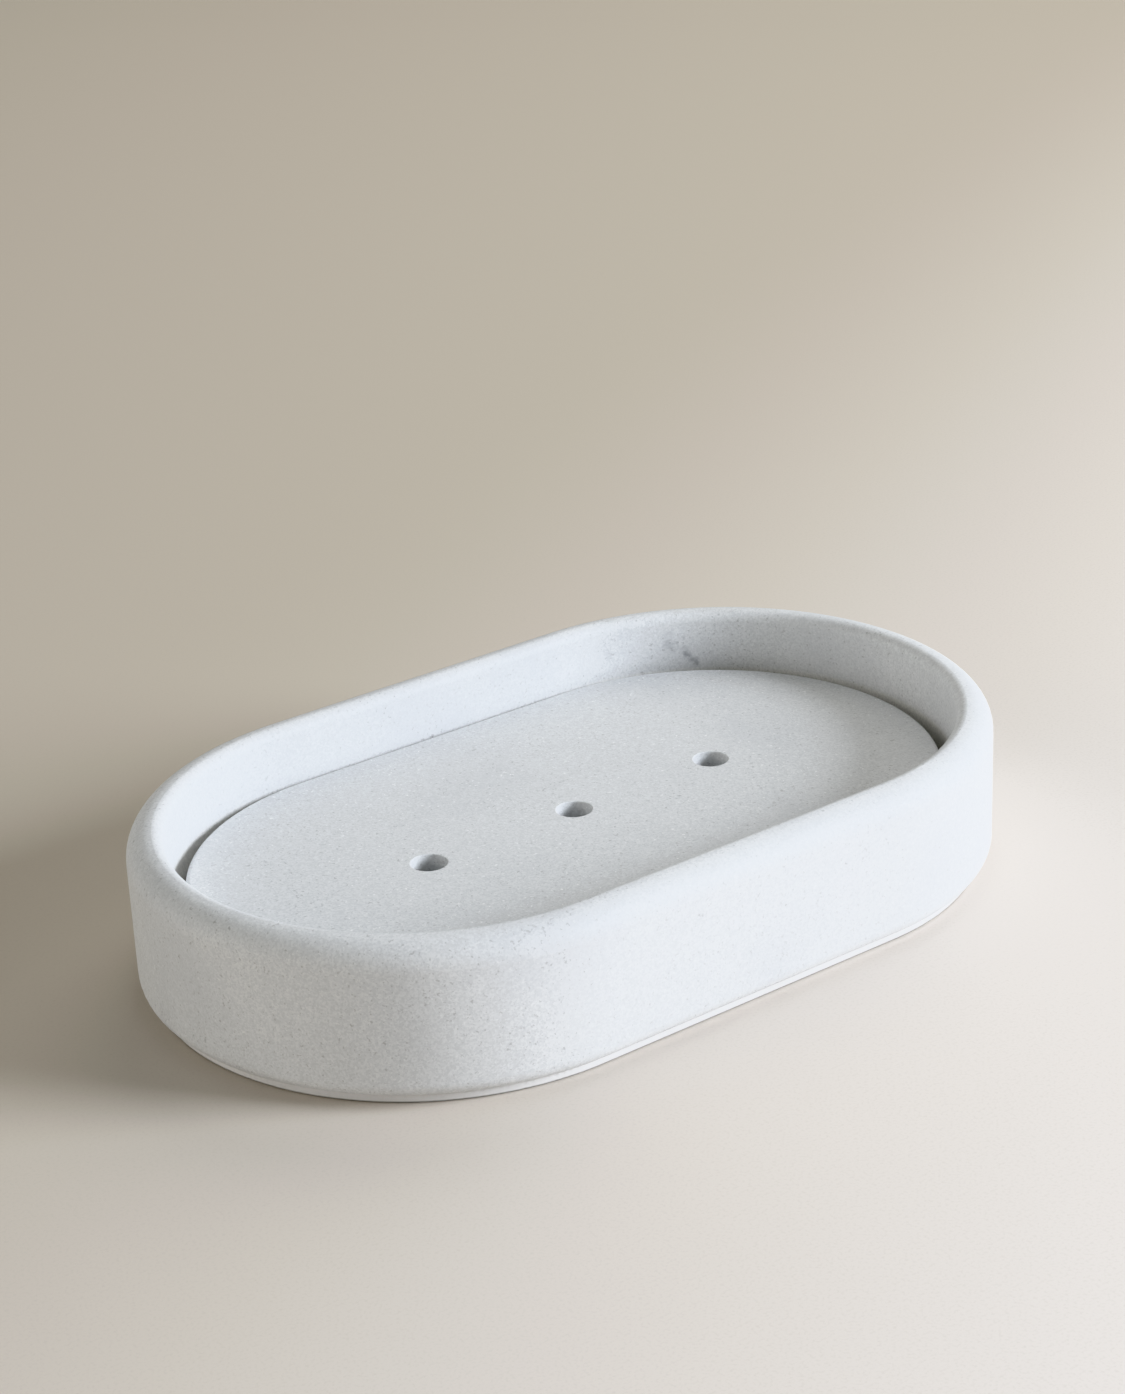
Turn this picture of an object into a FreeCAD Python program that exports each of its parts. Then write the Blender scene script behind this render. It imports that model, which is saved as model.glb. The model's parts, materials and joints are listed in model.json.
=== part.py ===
import FreeCAD, Part
import math
import os

# A stone soap dish: a tray with half-round ends, a loose plate with drain holes that lies on a ledge
# inside it above a water sump, small bumpers under the plate and a thin rubber base under the tray.
# Sizes are in millimetres. The origin is the middle of the underside, +X runs along the length,
# +Y across it towards the back, and +Z is up.

# Tray
TRAY_LENGTH = 150.0
TRAY_WIDTH = 92.0
TRAY_HEIGHT = 25.0
WALL = 6.0
FLOOR = 4.4
FOOT_RADIUS = 2.5
RIM_INNER_RADIUS = 1.8
LEDGE_WIDTH = 9.0
LEDGE_HEIGHT = 4.0
LEDGE_EDGE_RADIUS = 1.0
POCKET_CORNER_RADIUS = 1.0
SUMP_CORNER_RADIUS = 2.5

# Thin non-slip rubber base under the tray
BASE_THICKNESS = 1.6
BASE_INSET = 2.2
BASE_EDGE_RADIUS = 0.3

# Plate, with more room at its ends, where a fingertip lifts it, than along its sides
PLATE_THICKNESS = 5.8
PLATE_END_GAP = 2.8
PLATE_SIDE_GAP = 1.0
PLATE_TOP_RADIUS = 0.8
PLATE_UNDER_RADIUS = 0.5
HOLE_DIAMETER = 5.8
HOLE_SPACING = 28.5
HOLE_COUNT = 3
HOLE_EDGE_RADIUS = 0.2

# Bumpers between the plate and the ledge
BUMPER_DIAMETER = 5.0
BUMPER_THICKNESS = 1.0
BUMPER_EDGE_RADIUS = 0.4
BUMPER_SPREAD = 44.0

# How far a drill runs past a face, and how close two sizes are when they count as equal
CUT_PAST = 1.0
TOUCH = 0.001

# Levels, from the surface that the dish stands on
TRAY_LEVEL = BASE_THICKNESS
SUMP_LEVEL = TRAY_LEVEL + FLOOR
LEDGE_LEVEL = SUMP_LEVEL + LEDGE_HEIGHT
PLATE_LEVEL = LEDGE_LEVEL + BUMPER_THICKNESS
PLATE_TOP = PLATE_LEVEL + PLATE_THICKNESS
RIM_LEVEL = TRAY_LEVEL + TRAY_HEIGHT

# Reaches of the outlines from the spine that their half-round ends turn about
TRAY_REACH = TRAY_WIDTH / 2
POCKET_REACH = TRAY_REACH - WALL
SUMP_REACH = POCKET_REACH - LEDGE_WIDTH
BASE_REACH = TRAY_REACH - BASE_INSET
PLATE_REACH = POCKET_REACH - PLATE_SIDE_GAP

# Half the length of the spine of the tray, and of the plate in it
TRAY_SPINE = TRAY_LENGTH / 2 - TRAY_REACH
PLATE_SPINE = TRAY_SPINE + POCKET_REACH - PLATE_END_GAP - PLATE_REACH

# The rim is rounded right across the wall, more on its outside than on its inside
RIM_OUTER_RADIUS = WALL - RIM_INNER_RADIUS

# The bumpers lie midway over the level part of the ledge that the level underside of the plate covers
BUMPER_REACH = (SUMP_REACH + LEDGE_EDGE_RADIUS + PLATE_REACH - PLATE_UNDER_RADIUS) / 2

UP = FreeCAD.Vector(0, 0, 1)
CENTRE = FreeCAD.Vector(0, 0, 0)


def section(corners):
    """A face in the XZ plane from square corners, each given as its reach, level and rounding."""
    points = [FreeCAD.Vector(reach, 0, level) for reach, level, rounding in corners]
    edges = []
    leave = None
    for index, (reach, level, rounding) in enumerate(corners):
        corner = points[index]
        back = (points[index - 1] - corner).normalize()
        ahead = (points[(index + 1) % len(points)] - corner).normalize()
        enter = corner + back * rounding
        if leave is not None and leave.distanceToPoint(enter) > TOUCH:
            edges.append(Part.makeLine(leave, enter))
        leave = corner + ahead * rounding
        if rounding:
            middle = corner + (back + ahead) * rounding * (1 - math.sqrt(0.5))
            edges.append(Part.Arc(enter, middle, leave).toShape())
    edges.append(Part.makeLine(leave, points[0]))
    return Part.Face(Part.Wire(edges))


def stadium(face, spine):
    """A section taken round a straight spine along X: two half turns joined by straight sides."""
    front = face.copy()
    front.rotate(CENTRE, UP, -90)
    back = face.copy()
    back.rotate(CENTRE, UP, 90)
    bodies = []
    for side in (front, back):
        side.translate(FreeCAD.Vector(-spine, 0, 0))
        bodies.append(side.extrude(FreeCAD.Vector(2 * spine, 0, 0)))
    bodies.append(back.revolve(FreeCAD.Vector(-spine, 0, 0), UP, 180))
    front.translate(FreeCAD.Vector(2 * spine, 0, 0))
    bodies.append(front.revolve(FreeCAD.Vector(spine, 0, 0), UP, 180))
    return bodies[0].fuse(bodies[1:]).removeSplitter()


def tray_body():
    """The stone tray: rounded outside, with a pocket for plate and soap, a ledge and a sump."""
    return stadium(section([
        (0, TRAY_LEVEL, 0),
        (TRAY_REACH, TRAY_LEVEL, FOOT_RADIUS),
        (TRAY_REACH, RIM_LEVEL, RIM_OUTER_RADIUS),
        (POCKET_REACH, RIM_LEVEL, RIM_INNER_RADIUS),
        (POCKET_REACH, LEDGE_LEVEL, POCKET_CORNER_RADIUS),
        (SUMP_REACH, LEDGE_LEVEL, LEDGE_EDGE_RADIUS),
        (SUMP_REACH, SUMP_LEVEL, SUMP_CORNER_RADIUS),
        (0, SUMP_LEVEL, 0),
    ]), TRAY_SPINE)


def drain_plate():
    """The loose stone plate, with softened edges and a row of drain holes on its long axis."""
    plate = stadium(section([
        (0, PLATE_LEVEL, 0),
        (PLATE_REACH, PLATE_LEVEL, PLATE_UNDER_RADIUS),
        (PLATE_REACH, PLATE_TOP, PLATE_TOP_RADIUS),
        (0, PLATE_TOP, 0),
    ]), PLATE_SPINE)
    for index in range(HOLE_COUNT):
        along = HOLE_SPACING * (index - (HOLE_COUNT - 1) / 2)
        start = FreeCAD.Vector(along, 0, PLATE_LEVEL - CUT_PAST)
        plate = plate.cut(Part.makeCylinder(HOLE_DIAMETER / 2, PLATE_THICKNESS + 2 * CUT_PAST, start))
    lips = [edge for edge in plate.Edges if is_hole_lip(edge)]
    return plate.makeFillet(HOLE_EDGE_RADIUS, lips)


def is_hole_lip(edge):
    """Whether an edge is the circle where a drain hole meets a face of the plate."""
    return edge.isClosed() and abs(edge.BoundBox.XLength - HOLE_DIAMETER) < TOUCH


def plate_bumpers():
    """Four soft round bumpers under the plate, two along each long side."""
    profile = section([
        (0, LEDGE_LEVEL, 0),
        (BUMPER_DIAMETER / 2, LEDGE_LEVEL, BUMPER_EDGE_RADIUS),
        (BUMPER_DIAMETER / 2, PLATE_LEVEL, 0),
        (0, PLATE_LEVEL, 0),
    ])
    bumpers = {}
    for end, along in (("left", -BUMPER_SPREAD / 2), ("right", BUMPER_SPREAD / 2)):
        for side, across in (("front", -BUMPER_REACH), ("rear", BUMPER_REACH)):
            bumper = profile.revolve(CENTRE, UP, 360)
            bumper.translate(FreeCAD.Vector(along, across, 0))
            bumpers[f"plate_bumper_{end}_{side}"] = bumper
    return bumpers


def non_slip_base():
    """The thin non-slip rubber base, set in from the tray's wall."""
    return stadium(section([
        (0, 0, 0),
        (BASE_REACH, 0, BASE_EDGE_RADIUS),
        (BASE_REACH, BASE_THICKNESS, 0),
        (0, BASE_THICKNESS, 0),
    ]), TRAY_SPINE)


def main():
    """Build every piece and write one file for each."""
    os.makedirs("parts", exist_ok=True)
    pieces = {"tray_body": tray_body(), "drain_plate": drain_plate(), "non_slip_base": non_slip_base()}
    pieces.update(plate_bumpers())
    for name, shape in pieces.items():
        shape.exportStep(f"parts/{name}.step")
        state = "valid" if shape.isValid() else "not valid"
        print(f"{name}: {len(shape.Solids)} solid, {len(shape.Faces)} faces, {shape.Volume:.0f} mm3, {state}")


main()
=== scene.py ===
# %% [markdown]
# # A stone soap dish with a lift-out drain plate
#
# The dish is a white marble tray with half-round ends. A loose marble plate with three drain holes lies
# inside it on four small silicone bumpers, and the tray stands on a thin pale rubber base. The tray and
# the plate come from the CAD model as they are, because their shapes are right. This lesson gives them
# their stone, models the soft pieces, and sets up the camera, the floor and the light.

# %% Load the CAD model
import json
import math

import bpy
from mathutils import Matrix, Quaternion, Vector

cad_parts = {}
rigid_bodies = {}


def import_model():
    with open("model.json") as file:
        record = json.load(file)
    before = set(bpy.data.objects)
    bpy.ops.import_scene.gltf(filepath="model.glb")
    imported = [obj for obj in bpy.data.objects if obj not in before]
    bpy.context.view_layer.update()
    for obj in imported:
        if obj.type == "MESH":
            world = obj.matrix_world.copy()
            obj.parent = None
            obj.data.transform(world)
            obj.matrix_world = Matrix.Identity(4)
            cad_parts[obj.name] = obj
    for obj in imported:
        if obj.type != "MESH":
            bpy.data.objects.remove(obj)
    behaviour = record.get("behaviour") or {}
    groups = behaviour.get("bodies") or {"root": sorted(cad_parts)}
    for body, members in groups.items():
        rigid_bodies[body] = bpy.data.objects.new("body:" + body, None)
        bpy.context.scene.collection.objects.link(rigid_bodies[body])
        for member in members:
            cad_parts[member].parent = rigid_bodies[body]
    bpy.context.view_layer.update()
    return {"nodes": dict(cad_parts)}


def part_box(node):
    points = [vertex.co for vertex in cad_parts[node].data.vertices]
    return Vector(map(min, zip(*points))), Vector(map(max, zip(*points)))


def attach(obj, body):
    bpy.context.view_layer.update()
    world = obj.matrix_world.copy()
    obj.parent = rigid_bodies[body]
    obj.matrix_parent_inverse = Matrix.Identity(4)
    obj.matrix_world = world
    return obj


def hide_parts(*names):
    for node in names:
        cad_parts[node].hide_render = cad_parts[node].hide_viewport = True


for leftover in list(bpy.data.objects):
    bpy.data.objects.remove(leftover)
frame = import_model()

# %% [markdown]
# ## Camera
#
# The photograph looks down on the dish from its front left with a longish lens. The place, the aim and
# the lens come from fitting the outline of the dish, the edge of the plate and the drain holes to the
# photograph. The picture leans a little, so the camera is also turned about its own line of sight.

# %% Camera
CAMERA_PLACE = Vector((-0.26286, -0.35838, 0.23002))
CAMERA_AIM = Vector((0.04860, 0.06838, 0.0))
CAMERA_LEAN = math.radians(-2.67)
CAMERA_LENS = 79.08
CAMERA_SENSOR = 36
CAMERA_NEAR = 0.01

bpy.ops.object.camera_add(location=CAMERA_PLACE)
camera = bpy.context.object
camera.name = "photo_camera"
camera.rotation_mode = "QUATERNION"
sight = (CAMERA_AIM - CAMERA_PLACE).to_track_quat("-Z", "Y")
camera.rotation_quaternion = sight @ Quaternion((0, 0, 1), CAMERA_LEAN)
camera.data.lens = CAMERA_LENS
camera.data.sensor_width = CAMERA_SENSOR
camera.data.clip_start = CAMERA_NEAR
bpy.context.scene.camera = camera
print("camera to aim:", round((CAMERA_AIM - CAMERA_PLACE).length, 3), "m")

# %% [markdown]
# ## Writing shaders as sums
#
# A material is a web of nodes. Written out node by node it is hard to read, so a small class wraps one
# socket. Adding or multiplying two of them adds a Math node, and one method adds any other node: its
# settings first, then the values or links of its sockets.

# %% A socket that can be added and multiplied


class Signal:
    """One socket of a material. Sums on it add Math nodes, and node() adds any other node."""

    def __init__(self, tree, socket=None):
        self.tree = tree
        self.socket = socket

    def node(self, kind, settings=None, sockets=None, output=0):
        """Add a node of one type, with its settings first and then its sockets."""
        node = self.tree.nodes.new("ShaderNode" + kind)
        for name, value in (settings or {}).items():
            setattr(node, name, value)
        for name, value in (sockets or {}).items():
            if isinstance(value, Signal):
                self.tree.links.new(value.socket, node.inputs[name])
            else:
                node.inputs[name].default_value = value
        return Signal(self.tree, node.outputs[output] if node.outputs else None)

    def sum(self, operation, first, second):
        return self.node("Math", {"operation": operation}, {0: first, 1: second})

    def __add__(self, other):
        return self.sum("ADD", self, other)

    def __radd__(self, other):
        return self.sum("ADD", other, self)

    def __sub__(self, other):
        return self.sum("SUBTRACT", self, other)

    def __rsub__(self, other):
        return self.sum("SUBTRACT", other, self)

    def __mul__(self, other):
        return self.sum("MULTIPLY", self, other)

    def __rmul__(self, other):
        return self.sum("MULTIPLY", other, self)


def new_material(name):
    """An empty node material, and a signal to start its nodes from."""
    material = bpy.data.materials.new(name)
    material.use_nodes = True
    material.node_tree.nodes.clear()
    return material, Signal(material.node_tree)


def noise(place, size, detail=2.0, roughness=0.5):
    """A cloudy value from 0 to 1, whose lumps are about this size."""
    sockets = {"Vector": place, "Scale": 1 / size, "Detail": detail, "Roughness": roughness}
    return place.node("TexNoise", {}, sockets)


def ramp(value, low, high):
    """0 below low, 1 above high and a smooth step between them. Low may be the larger one."""
    sockets = {"Value": value, "From Min": low, "From Max": high}
    return value.node("MapRange", {"interpolation_type": "SMOOTHSTEP"}, sockets)


def mix(factor, first, second):
    """The first colour where the factor is 0, and the second where it is 1."""
    return factor.node("Mix", {"data_type": "RGBA"}, {0: factor, 6: first, 7: second}, output=2)


def vector(operation, first, second):
    """A sum on two vectors or two colours."""
    return first.node("VectorMath", {"operation": operation}, {0: first, 1: second})


def dot(first, second):
    """How far the first vector reaches along the second."""
    return first.node("VectorMath", {"operation": "DOT_PRODUCT"}, {0: first, 1: second}, output="Value")


def reach(place, start, end):
    """The distance from a straight line between two points."""
    along = Vector(end) - Vector(start)
    offset = vector("SUBTRACT", place, start)
    share = dot(offset, along / along.length_squared)
    share = share.node("Clamp", {}, {"Value": share})
    foot = share.node("VectorMath", {"operation": "SCALE"}, {0: along, "Scale": share})
    return foot.node("VectorMath", {"operation": "DISTANCE"}, {0: offset, 1: foot}, output="Value")


def spine_reach(place, spine):
    """The level distance from a spine along X that runs this far to either side of the middle."""
    level = vector("MULTIPLY", place, (1, 1, 0))
    return reach(level, (-spine, 0, 0), (spine, 0, 0))


print("shader helpers ready")

# %% [markdown]
# ## Marble
#
# The stone is a honed, fine-grained white marble. Close up it is a mass of sugar-like crystals with tiny
# dark specks. A few bright spots are painted into its colour as glints, which are painted highlights, and
# the stone is also a little less rough there. From further off it shows faint grey clouds and, here and
# there, a small dark vein. Each of these is one layer at its own real size. The specks are the highest
# points of a fine noise and the painted glints its lowest, which gives them uneven outlines, as real ones
# have, and a slower noise gathers them in patches. Down in the gap beside the plate the stone is painted
# paler and warmer, as painted light in place of the light that comes back out of the gap. The tray and
# the plate are cut from different places in the block, so the pattern is shifted and turned for each.

# %% Marble
STONE_LIGHT = (0.732, 0.739, 0.744, 1)
STONE_DARK = (0.618, 0.626, 0.632, 1)
STONE_CLOUD = (0.55, 0.56, 0.58, 1)
STONE_SPECK = (0.25, 0.242, 0.235, 1)
# The glint colour is a painted highlight: bright spots in the stone's colour
STONE_PAINTED_GLINT = (0.92, 0.92, 0.92, 1)
STONE_VEIN = (0.20, 0.205, 0.225, 1)
STONE_IOR = 1.5
CRYSTAL_SIZE = 0.0003
FINE_GRAIN = 0.0004
COARSE_GRAIN = 0.0012
CLOUD_SIZE = 0.028
PATCH_SIZE = 0.012
SMALL_SPECK = 0.00055
LARGE_SPECK = 0.0014
VEIN_WAVE = 0.002
VEIN_BREAK = 0.0012
GRAIN_DEPTH = 0.0002
GRAIN_STRENGTH = 0.12
# The gap beside the plate, where the stone is painted paler and warmer as painted light: that tint, the
# tray's spine, reaches from the spine, and its top with a fade
GAP_PAINTED_LIGHT_TINT = (1.12, 1.095, 1.045)
TRAY_SPINE = 0.029
GAP_INNER = 0.035
GAP_INNER_FULL = 0.037
GAP_OUTER_FULL = 0.0401
GAP_OUTER = 0.0403
GAP_TOP = 0.0166
GAP_FADE = 0.0012


def marble(name, shift, turn, painted_glint_share, veins=()):
    """Honed white marble, its pattern shifted and turned, with short veins, painted glints and painted
    light in the gap.
    """
    material, start = new_material(name)
    place = start.node("TexCoord", output="Object")
    block = start.node("Mapping", {}, {"Vector": place, "Location": shift, "Rotation": turn})

    crystals = start.node("TexVoronoi", {}, {"Vector": block, "Scale": 1 / CRYSTAL_SIZE}, output="Color")
    crystals = start.node("SeparateColor", {}, {"Color": crystals})
    grain = 0.35 * crystals + 0.4 * noise(block, FINE_GRAIN) + 0.25 * noise(block, COARSE_GRAIN, 3)
    stone = mix(ramp(grain, 0.25, 0.75), STONE_DARK, STONE_LIGHT)

    clouds = ramp(noise(block, CLOUD_SIZE, 4, 0.55), 0.48, 0.75)
    stone = mix(0.4 * clouds, stone, STONE_CLOUD)

    patches = 0.12 * noise(block, PATCH_SIZE, 2) - 0.06
    small = noise(block, SMALL_SPECK, 2) + patches
    large = noise(block, LARGE_SPECK, 3, 0.6) + patches
    specks = 0.4 * ramp(small, 0.62, 0.74) + 0.35 * ramp(large, 0.68, 0.75)
    stone = mix(specks, stone, STONE_SPECK)
    # Painted highlights: the lowest points of the noise become bright spots in the colour, as glints
    painted_glints = ramp(small, 0.35, 0.26)
    stone = mix(painted_glint_share * painted_glints, stone, STONE_PAINTED_GLINT)

    waves = {"Vector": place, "Scale": 1 / VEIN_WAVE, "Detail": 3}
    warp = start.node("TexNoise", {}, waves, output="Color")
    warp = vector("SUBTRACT", warp, (0.5, 0.5, 0.5))
    warp = warp.node("VectorMath", {"operation": "SCALE"}, {0: warp, "Scale": VEIN_WAVE})
    wavy = vector("ADD", place, warp)
    broken = 0.4 + 0.6 * ramp(noise(place, VEIN_BREAK, 3), 0.35, 0.6)
    for first, last, radius, strength in veins:
        vein = ramp(reach(wavy, first, last), radius, 0.0) * broken
        stone = mix(strength * vein, stone, STONE_VEIN)

    # Painted light: the stone in the gap beside the plate is painted paler and warmer
    out = spine_reach(place, TRAY_SPINE)
    height = place.node("SeparateXYZ", {}, {"Vector": place}, output="Z")
    across_gap = ramp(out, GAP_INNER, GAP_INNER_FULL) * ramp(out, GAP_OUTER, GAP_OUTER_FULL)
    gap_painted_light = across_gap * ramp(height, GAP_TOP, GAP_TOP - GAP_FADE)
    stone = mix(gap_painted_light, stone, vector("MULTIPLY", stone, GAP_PAINTED_LIGHT_TINT))

    roughness = 0.52 + 0.16 * grain - 0.25 * painted_glints
    relief = 0.7 * grain - 1.0 * specks
    bump = start.node("Bump", {}, {"Strength": GRAIN_STRENGTH, "Distance": GRAIN_DEPTH, "Height": relief})
    surface = start.node("BsdfPrincipled", {}, {
        "Base Color": stone,
        "Roughness": roughness,
        "Normal": bump,
        "IOR": STONE_IOR,
    })
    start.node("OutputMaterial", {}, {"Surface": surface})
    return material


# Each vein's two ends, its radius and its strength
TRAY_VEINS = [
    ((0.0503, 0.0339, 0.0196), (0.0522, 0.0326, 0.0172), 0.0011, 0.65),
    ((0.0506, 0.0337, 0.0221), (0.0507, 0.0337, 0.0219), 0.0006, 0.50),
    ((0.0480, 0.0352, 0.0222), (0.0484, 0.0350, 0.0206), 0.0017, 0.30),
    ((0.0366, 0.0393, 0.0226), (0.0377, 0.0391, 0.0208), 0.0015, 0.15),
    ((0.0400, 0.0380, 0.0220), (0.0525, 0.0325, 0.0180), 0.0075, 0.13),
    ((-0.0584, -0.0355, 0.0220), (-0.0570, -0.0365, 0.0100), 0.0060, 0.10),
]
PLATE_SHIFT = (0.31, 0.17, 0.05)
PLATE_TURN = (0.4, 0.2, 1.1)
# How strongly the painted glints show on the tray and on the plate
TRAY_PAINTED_GLINT = 0.3
PLATE_PAINTED_GLINT = 0.8

tray_marble = marble("tray_marble", (0, 0, 0), (0, 0, 0), TRAY_PAINTED_GLINT, TRAY_VEINS)
plate_marble = marble("plate_marble", PLATE_SHIFT, PLATE_TURN, PLATE_PAINTED_GLINT)
for node_name, finish in (("tray_body", tray_marble), ("drain_plate", plate_marble)):
    node = frame["nodes"][node_name]
    node.data.materials.clear()
    node.data.materials.append(finish)
    print(node_name, "is", finish.name)

# %% [markdown]
# ## Modelling by hand
#
# By hand, a modeller clicks on faces and edges. In code they are picked by their place: a test says which
# points belong, and whatever has only such points is selected. Every piece ends in the same way, with its
# place put in its mesh and its faces smoothed up to the sharp edges.

# %% Select faces and edges by their place
SHARP_ANGLE = math.radians(40)


def start_editing():
    """Edit the new piece with nothing selected in it."""
    bpy.ops.object.mode_set(mode="EDIT")
    bpy.ops.mesh.select_all(action="DESELECT")


def select(piece, mode, test):
    """Select the vertices, edges or faces of a piece whose points all pass a test."""
    bpy.ops.mesh.select_all(action="DESELECT")
    bpy.ops.mesh.select_mode(type=mode)
    bpy.ops.object.mode_set(mode="OBJECT")
    mesh = piece.data
    for item in {"VERT": mesh.vertices, "EDGE": mesh.edges, "FACE": mesh.polygons}[mode]:
        if mode == "VERT":
            points = [item.co]
        else:
            points = [mesh.vertices[index].co for index in item.vertices]
        item.select = all(test(piece.matrix_world @ point) for point in points)
    bpy.ops.object.mode_set(mode="EDIT")


def finish_piece(piece):
    """Leave edit mode, put the piece's place in its mesh and smooth all but its sharp edges."""
    bpy.ops.object.mode_set(mode="OBJECT")
    bpy.ops.object.transform_apply(location=True, rotation=True, scale=True)
    bpy.ops.object.shade_smooth_by_angle(angle=SHARP_ANGLE)
    print(piece.name, "has", len(piece.data.polygons), "faces")


print("modelling helpers ready")

# %% [markdown]
# ## Rubber base
#
# The tray stands on a thin pale rubber base, set in a little from its wall, so that the stone doesn't
# slide or scratch. It could be cut from a flat sheet, but its lower edge is softly rounded and a shallow
# field is moulded into its underside. So it starts as a disc, whose two halves are pulled apart into an
# outline with half-round ends. Then the underside is inset and the field is raised.

# %% Rubber base
BASE_SEGMENTS = 128
BASE_LIP = 0.003
BASE_FIELD_DEPTH = 0.0003

base_low, base_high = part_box("non_slip_base")
base_reach = base_high.y
base_spine = base_high.x - base_reach
base_thickness = base_high.z - base_low.z

bpy.ops.object.select_all(action="DESELECT")
bpy.ops.mesh.primitive_cylinder_add(
    vertices=BASE_SEGMENTS,
    radius=base_reach,
    depth=base_thickness,
    location=(0, 0, base_thickness / 2),
    rotation=(0, 0, math.pi / BASE_SEGMENTS),
)
rubber_base = bpy.context.object
rubber_base.name = "rubber_base"
bpy.ops.object.transform_apply(location=True, rotation=True, scale=True)
start_editing()
select(rubber_base, "VERT", lambda point: point.x > 0)
bpy.ops.transform.translate(value=(base_spine, 0, 0))
select(rubber_base, "VERT", lambda point: point.x < 0)
bpy.ops.transform.translate(value=(-base_spine, 0, 0))
select(rubber_base, "FACE", lambda point: point.z < base_thickness / 4)
bpy.ops.mesh.inset(thickness=BASE_LIP)
bpy.ops.mesh.inset(thickness=BASE_FIELD_DEPTH)
bpy.ops.transform.translate(value=(0, 0, BASE_FIELD_DEPTH))
finish_piece(rubber_base)

# %% [markdown]
# ## Lower edge of the base
#
# A moulded edge is never quite sharp. The ring of edges round the underside is picked by its distance from
# the middle line of the base and bevelled. A Bevel modifier would also round the upper edge, which lies
# flat against the stone and stays crisp.

# %% Round the base's lower edge
BASE_EDGE = 0.0003
BASE_EDGE_STEPS = 3
BASE_EDGE_SLACK = 0.0001


def on_lower_edge(point):
    """Whether a point lies on the outer edge of the underside."""
    out = math.hypot(max(abs(point.x) - base_spine, 0), point.y)
    return point.z < base_thickness / 4 and out > base_reach - BASE_EDGE_SLACK


start_editing()
select(rubber_base, "EDGE", on_lower_edge)
bpy.ops.mesh.bevel(offset=BASE_EDGE, segments=BASE_EDGE_STEPS)
finish_piece(rubber_base)

# %% [markdown]
# ## Rubber finish
#
# The base is a matt, pale rubber, smoother than the stone above it. A fine dimpled grip is moulded into
# it, and rubber takes up a little dust, so its colour varies softly. Thin dark lines in the seam under the
# stone and along the lower edge by the floor are painted shade.

# %% Rubber finish
RUBBER_CLEAN = (0.74, 0.735, 0.73, 1)
RUBBER_DUSTY = (0.64, 0.63, 0.61, 1)
# The colour of the painted shade in the seam and along the lower edge
RUBBER_PAINTED_SHADE = (0.16, 0.15, 0.135, 1)
RUBBER_IOR = 1.5
DUST_PATCH = 0.012
DUST_SPECK = 0.0006
SEAM_HEIGHT = 0.00035
FOOT_LINE_TOP = 0.00045
FOOT_LINE_FULL = 0.0001
SHADE_LINE_DEPTH = 0.0003
SHADE_LINE_FULL = 0.0001
DIMPLE_PITCH = 0.0012
DIMPLE_DEPTH = 0.0002
DIMPLE_STRENGTH = 0.25

rubber, start = new_material("pale_rubber")
place = start.node("TexCoord", output="Object")
dust = ramp(0.6 * noise(place, DUST_PATCH, 4) + 0.4 * noise(place, DUST_SPECK, 2), 0.4, 0.7)
height = start.node("SeparateXYZ", {}, {"Vector": place}, output="Z")
out = spine_reach(place, base_spine)
# Painted shade: a thin dark line at the top of the base under the stone, and one at its lower edge
seam_painted_shade = 0.35 * ramp(height, base_thickness - SEAM_HEIGHT, base_thickness)
foot_painted_shade = 0.8 * ramp(height, FOOT_LINE_TOP, FOOT_LINE_FULL)
painted_shade_lines = (seam_painted_shade + foot_painted_shade) * ramp(out, base_reach - SHADE_LINE_DEPTH, base_reach - SHADE_LINE_FULL)
dimples = start.node("TexVoronoi", {}, {"Vector": place, "Scale": 1 / DIMPLE_PITCH, "Randomness": 0.0})
dimples = ramp(dimples, 0.2, 0.45)
bump = start.node("Bump", {}, {"Strength": DIMPLE_STRENGTH, "Distance": DIMPLE_DEPTH, "Height": dimples})
surface = start.node("BsdfPrincipled", {}, {
    "Base Color": mix(painted_shade_lines, mix(0.6 * dust, RUBBER_CLEAN, RUBBER_DUSTY), RUBBER_PAINTED_SHADE),
    "Roughness": 0.62 + 0.2 * dust,
    "Normal": bump,
    "IOR": RUBBER_IOR,
})
start.node("OutputMaterial", {}, {"Surface": surface})
rubber_base.data.materials.append(rubber)
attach(rubber_base, "tray")
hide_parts("non_slip_base")
print("rubber base rides on the tray")

# %% [markdown]
# ## Bumpers
#
# Four clear silicone bumpers under the plate keep stone off stone. Each is a small dome with a flat top
# that is stuck to the plate and a flat foot that stands on the ledge. It is modelled from a short cylinder
# whose lower edge is bevelled into a dome. A cut sphere would have no flat foot to stand on.

# %% First bumper
BUMPER_SEGMENTS = 48
BUMPER_DOME = 0.0008
BUMPER_DOME_STEPS = 6
BUMPERS = ["plate_bumper_left_front", "plate_bumper_left_rear",
           "plate_bumper_right_front", "plate_bumper_right_rear"]

bumper_low, bumper_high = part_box(BUMPERS[0])
bumper_middle = (bumper_low + bumper_high) / 2
bumper_size = bumper_high - bumper_low
bpy.ops.object.select_all(action="DESELECT")
bpy.ops.mesh.primitive_cylinder_add(
    vertices=BUMPER_SEGMENTS,
    radius=bumper_size.x / 2,
    depth=bumper_size.z,
    location=bumper_middle,
)
first_bumper = bpy.context.object
first_bumper.name = "silicone_" + BUMPERS[0]
bpy.ops.object.transform_apply(location=True, rotation=True, scale=True)
start_editing()
select(first_bumper, "EDGE", lambda point: point.z < bumper_middle.z)
bpy.ops.mesh.bevel(offset=BUMPER_DOME, segments=BUMPER_DOME_STEPS)
finish_piece(first_bumper)

# %% [markdown]
# ## Silicone finish
#
# Clear silicone is soft and a little milky. Some light passes through it, and a fine noise makes it milkier
# in places. Plain glass would look too hard, and plain paint too dense.

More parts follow.
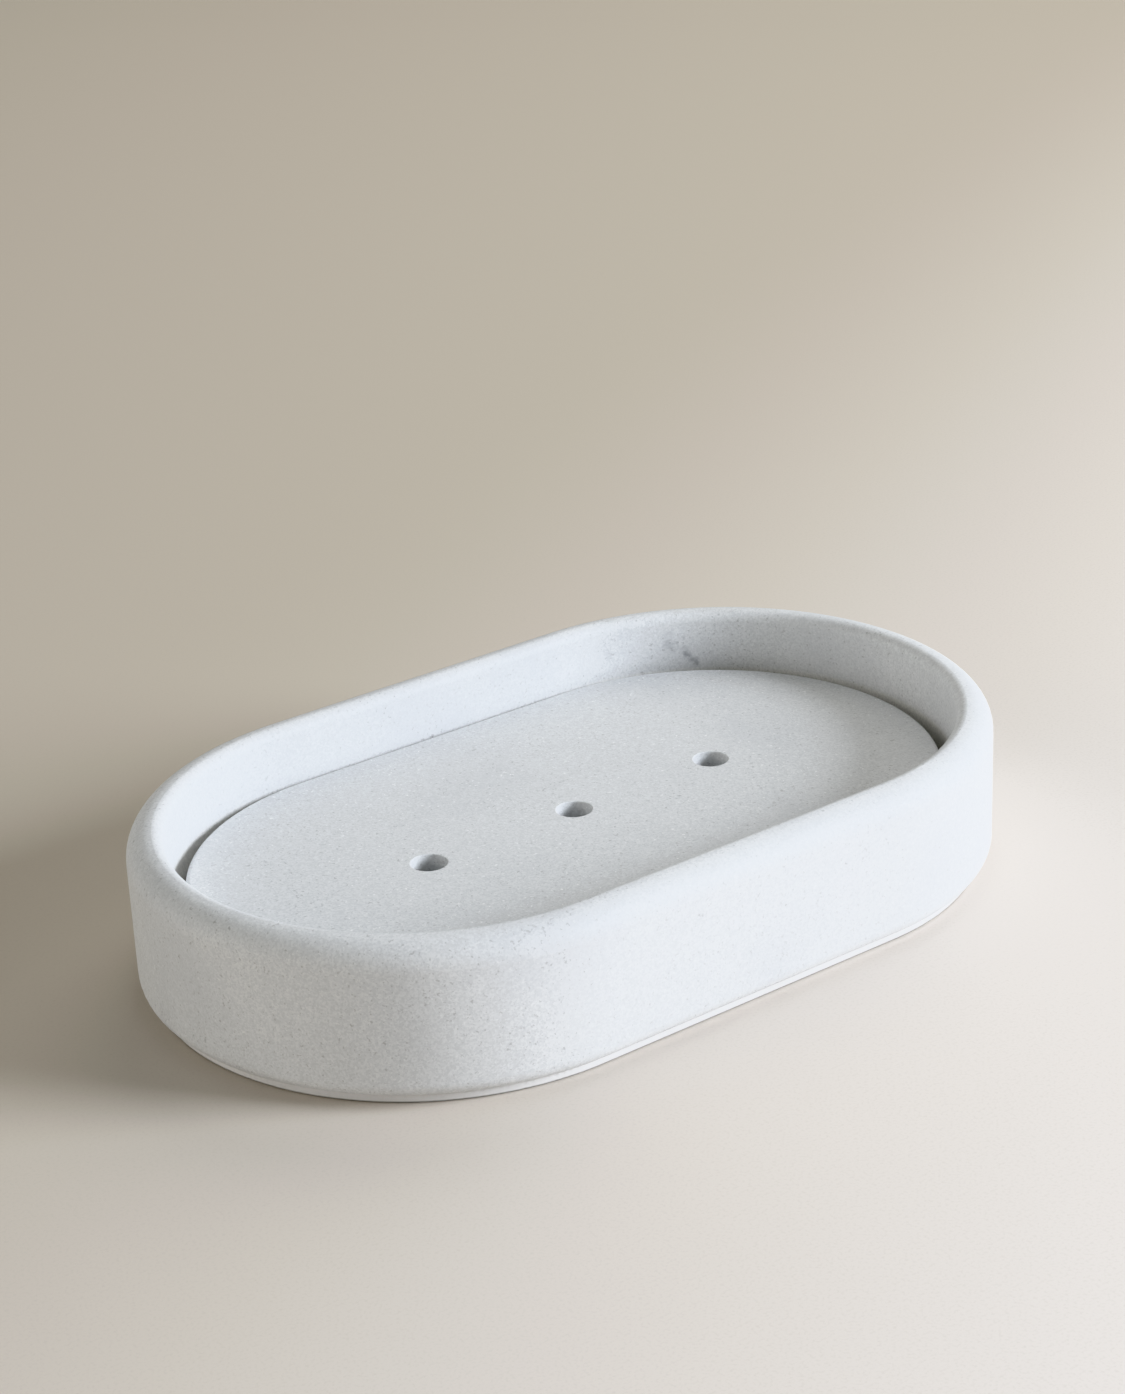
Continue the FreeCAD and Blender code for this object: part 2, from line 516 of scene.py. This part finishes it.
# %% Silicone finish
SILICONE_CLEAR = (0.90, 0.92, 0.93, 1)
SILICONE_MILKY = (0.80, 0.83, 0.85, 1)
SILICONE_IOR = 1.41
SILICONE_CLARITY = 0.6
MILK_SIZE = 0.0012

silicone, start = new_material("clear_silicone")
place = start.node("TexCoord", output="Object")
milky = noise(place, MILK_SIZE, 3)
surface = start.node("BsdfPrincipled", {}, {
    "Base Color": mix(milky, SILICONE_CLEAR, SILICONE_MILKY),
    "Roughness": 0.22 + 0.15 * milky,
    "IOR": SILICONE_IOR,
    "Transmission Weight": SILICONE_CLARITY,
})
start.node("OutputMaterial", {}, {"Surface": surface})
first_bumper.data.materials.append(silicone)
print("silicone ready")

# %% [markdown]
# ## The other bumpers
#
# All four bumpers come out of one mould, so the first is duplicated and each copy is moved to its place.
# A linked copy would share one mesh, but every bumper keeps its place in a mesh of its own.

# %% The other bumpers
bumpers = [first_bumper]
for node_name in BUMPERS[1:]:
    bpy.ops.object.select_all(action="DESELECT")
    first_bumper.select_set(True)
    bpy.context.view_layer.objects.active = first_bumper
    bpy.ops.object.duplicate()
    copy = bpy.context.object
    copy.name = "silicone_" + node_name
    bpy.ops.transform.translate(value=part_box(node_name)[0] - bumper_low)
    bpy.ops.object.transform_apply(location=True, rotation=True, scale=True)
    bumpers.append(copy)
for bumper, node_name in zip(bumpers, BUMPERS):
    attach(bumper, "plate")
    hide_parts(node_name)
    print(bumper.name, "rides on the plate")

# %% [markdown]
# ## Floor
#
# The dish stands on plain pale paper that runs on behind it. A large sheet is enough, because the camera
# looks down so far that it never sees the sheet's far edge. The paper's colour goes from nearly white in
# the front right to beige behind, along one direction on the floor, as painted light falloff towards the
# key light, and it has fine fibres in it. It lies a hair below the base, so that two faces never lie in one
# plane.

# %% Floor
PAPER_PALE = (0.903, 0.846, 0.804, 1)
PAPER_BEIGE = (0.559, 0.50, 0.418, 1)
PAPER_FIBRE = (0.46, 0.42, 0.36, 1)
# The direction of the painted light falloff: the paper is painted paler towards the key light
PAPER_PAINTED_FALLOFF = Vector((0.451, -0.893, 0))
FALLOFF_START = -0.131
FALLOFF_END = 0.19
FIBRE_SIZE = 0.0005
PAPER_ROUGHNESS = 0.85
PAPER_IOR = 1.3
FLOOR_SIZE = 12
FLOOR_DROP = 0.00005

bpy.ops.object.select_all(action="DESELECT")
bpy.ops.mesh.primitive_plane_add(size=FLOOR_SIZE, location=(0, 0, -FLOOR_DROP))
floor = bpy.context.object
floor.name = "studio_floor"
paper, start = new_material("pale_paper")
place = start.node("TexCoord", output="Object")
# Painted light: the paper is painted paler towards the key light and beige away from it
painted_falloff = dot(place, PAPER_PAINTED_FALLOFF)
tone = mix(ramp(painted_falloff, FALLOFF_START, FALLOFF_END), PAPER_BEIGE, PAPER_PALE)
fibre = ramp(noise(place, FIBRE_SIZE, 2), 0.45, 0.8)
surface = start.node("BsdfPrincipled", {}, {
    "Base Color": mix(0.16 * fibre, tone, PAPER_FIBRE),
    "Roughness": PAPER_ROUGHNESS,
    "IOR": PAPER_IOR,
})
start.node("OutputMaterial", {}, {"Surface": surface})
floor.data.materials.append(paper)
print("floor", tuple(round(side, 1) for side in floor.dimensions[:2]), "m")

# %% [markdown]
# ## Light
#
# One large soft light stands low on the right, so that the upright walls that face it are brighter than
# the level plate, and the dish throws a soft shadow to the left. A weak light stands behind on the right.
# Both are round area lights, because a small lamp would give the shadow a hard edge.

# %% Light
KEY_PLACE = Vector((0.914, -0.946, 0.479))
KEY_SIZE = 0.6
KEY_POWER = 30.5
KEY_COLOUR = (0.870, 0.919, 1.0)
BACK_PLACE = Vector((0.80, 0.55, 0.95))
BACK_SIZE = 1.0
BACK_POWER = 4.6
BACK_COLOUR = (1.0, 0.97, 0.92)


def soft_light(name, place, size, power, colour):
    """A round soft light that faces the dish."""
    bpy.ops.object.light_add(type="AREA", location=place)
    light = bpy.context.object
    light.name = name
    light.rotation_mode = "QUATERNION"
    light.rotation_quaternion = (-place).to_track_quat("-Z", "Y")
    light.data.shape = "DISK"
    light.data.size = size
    light.data.energy = power
    light.data.color = colour
    print(name, "stands", round(place.length, 2), "m away")


soft_light("soft_key", KEY_PLACE, KEY_SIZE, KEY_POWER, KEY_COLOUR)
soft_light("soft_back", BACK_PLACE, BACK_SIZE, BACK_POWER, BACK_COLOUR)

# %% [markdown]
# ## Room
#
# The rest of the room is a faint glow from all round, brighter and warmer low on the left, as from a pale
# wall that sends some light back, and that lifts the shaded side. The glow is a colour of the world that
# depends on the direction, because a lamp there would leave an edge on the floor. The Khronos PBR Neutral
# view keeps colours as they are up to the brightest ones, which it softens, as a camera does.

# %% Room
ROOM_GLOW = (0.28, 0.289, 0.284, 1)
WALL_GLOW = (2.34, 2.28, 2.17, 1)
WALL_DIRECTION = Vector((-0.96, 0.25, 0.12))
WALL_EDGE = 0.75

room = bpy.data.worlds.new("soft_room")
room.use_nodes = True
room.node_tree.nodes.clear()
start = Signal(room.node_tree)
outward = start.node("TexCoord", output="Generated")
wall = ramp(dot(outward, WALL_DIRECTION), WALL_EDGE, 1.0)
glow = start.node("Background", {}, {"Color": mix(wall, ROOM_GLOW, WALL_GLOW)})
start.node("OutputWorld", {}, {"Surface": glow})
bpy.context.scene.world = room
bpy.context.scene.view_settings.view_transform = "Khronos PBR Neutral"
print("room glow:", ROOM_GLOW[0], "and on the left:", WALL_GLOW[0])
